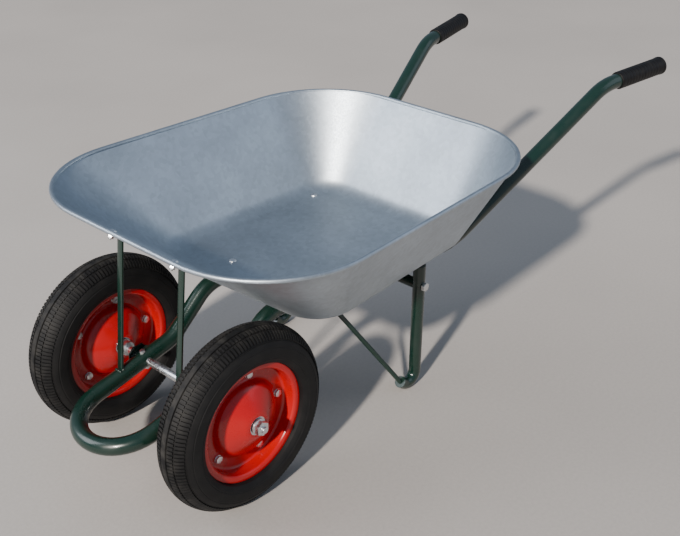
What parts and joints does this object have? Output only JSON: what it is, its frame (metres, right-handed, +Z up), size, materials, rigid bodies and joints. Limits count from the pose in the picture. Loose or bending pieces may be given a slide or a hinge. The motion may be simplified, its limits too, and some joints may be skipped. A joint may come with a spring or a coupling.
{
  "type": "wheelbarrow",
  "caption": "Garden wheelbarrow with a deep pressed metal tray on a bent tube frame, two pneumatic wheels on one axle at the front, two legs and two handles.",
  "frame": {"origin": "on the ground, below the middle of the barrow's length and width", "axes": "+X forward from the handles to the wheels, +Y to the left, +Z up"},
  "size_m": [1.4433, 0.6948, 0.5565],
  "materials": {
    "galvanised": "galvanised sheet, satin",
    "frame_green": "gloss enamel",
    "rim_red": "gloss enamel",
    "zinc": "bright zinc plate",
    "bearing_steel": "ground steel",
    "grip_black": "matt",
    "tyre_black": "matt moulded rubber",
    "rubber_black": "matt"
  },
  "bodies": {
    "frame": {"axle": "zinc", "axle_collars": "zinc", "axle_lock_bolts": "zinc", "axle_lock_nuts": "zinc", "axle_nuts": "zinc", "cross_tube_inserts": "bearing_steel", "front_strap": "frame_green", "front_tray_bolts": "zinc", "inner_axle_washers": "zinc", "left_axle_plate": "frame_green", "left_frame_tube": "frame_green", "left_grip": "grip_black", "left_leg": "frame_green", "left_leg_brace": "frame_green", "left_leg_cap": "frame_green", "left_tray_strut": "frame_green", "leg_bolts": "zinc", "leg_cross_tube": "frame_green", "nose_loop": "frame_green", "outer_axle_washers": "zinc", "rear_strap": "frame_green", "rear_tray_bolts": "zinc", "right_axle_plate": "frame_green", "right_frame_tube": "frame_green", "right_grip": "grip_black", "right_leg": "frame_green", "right_leg_brace": "frame_green", "right_leg_cap": "frame_green", "right_tray_strut": "frame_green", "strut_bolts": "zinc", "strut_nuts": "zinc", "tray": "galvanised", "tray_nuts": "zinc"},
    "left_wheel": {"left_bearings": "bearing_steel", "left_hub": "rim_red", "left_inner_tube": "rubber_black", "left_rim_bolts": "zinc", "left_rim_nuts": "zinc", "left_rim_plain_half": "rim_red", "left_rim_valve_half": "rim_red", "left_tyre": "tyre_black", "left_valve": "rubber_black"},
    "right_wheel": {"right_bearings": "bearing_steel", "right_hub": "rim_red", "right_inner_tube": "rubber_black", "right_rim_bolts": "zinc", "right_rim_nuts": "zinc", "right_rim_plain_half": "rim_red", "right_rim_valve_half": "rim_red", "right_tyre": "tyre_black", "right_valve": "rubber_black"}
  },
  "joints": [
    {"name": "left_wheel_spin", "type": "hinge", "parent": "frame", "child": "left_wheel", "pos_m": [0.5126, 0.187, 0.175], "axis": [0, 1, 0], "continuous": true},
    {"name": "right_wheel_spin", "type": "hinge", "parent": "frame", "child": "right_wheel", "pos_m": [0.5126, -0.187, 0.175], "axis": [0, 1, 0], "continuous": true}
  ]
}
